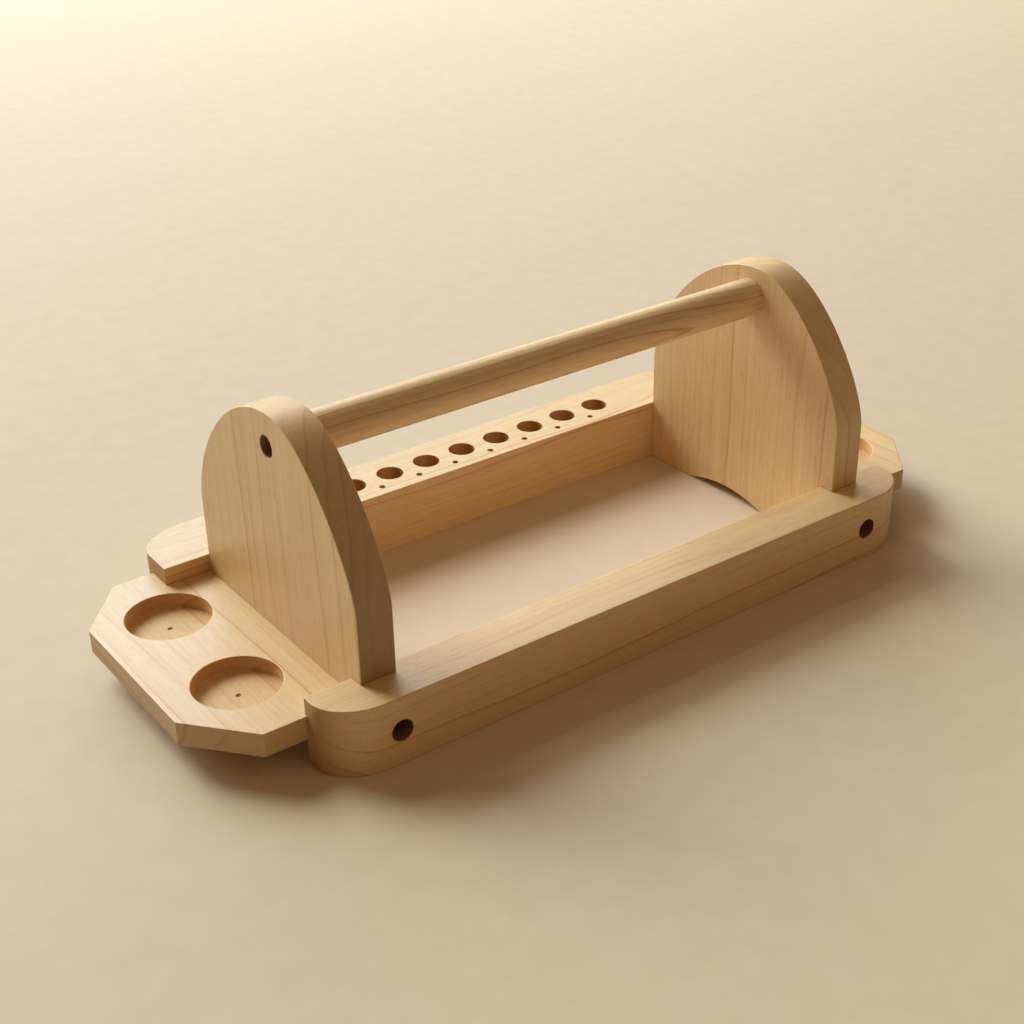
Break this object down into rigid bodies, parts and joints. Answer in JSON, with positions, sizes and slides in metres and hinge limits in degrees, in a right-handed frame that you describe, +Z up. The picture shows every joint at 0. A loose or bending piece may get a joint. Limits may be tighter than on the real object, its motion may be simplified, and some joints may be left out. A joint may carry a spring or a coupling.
{
  "type": "loom",
  "caption": "Tabletop wooden loom frame: rounded end panels hold a round top bar and low rails, the back rail drilled with a row of holes, with a cupped tray outside each end.",
  "frame": {"origin": "middle of the footprint, on the surface that the rails rest on", "axes": "+X along the bar and the rails, +Y from the plain front rail to the drilled back rail, +Z up"},
  "size_m": [0.468, 0.207, 0.1455],
  "materials": {
    "panel_wood": "matt oiled, fine upright grain",
    "rail_wood": "matt oiled, grain along the rail",
    "bar_wood": "matt oiled, turned, grain along the bar",
    "tray_wood": "matt oiled, grain front to back",
    "pin_wood": "plain",
    "screw_steel": "dull zinc"
  },
  "bodies": {
    "root": {"front_rail": "rail_wood", "back_rail": "rail_wood", "top_bar": "bar_wood", "left_end_panel": "panel_wood", "left_tray": "tray_wood", "left_front_screw": "screw_steel", "left_back_screw": "screw_steel", "left_bar_screw": "screw_steel", "left_tray_front_pin": "pin_wood", "left_tray_back_pin": "pin_wood", "right_end_panel": "panel_wood", "right_tray": "tray_wood", "right_front_screw": "screw_steel", "right_back_screw": "screw_steel", "right_bar_screw": "screw_steel", "right_tray_front_pin": "pin_wood", "right_tray_back_pin": "pin_wood"}
  },
  "joints": []
}
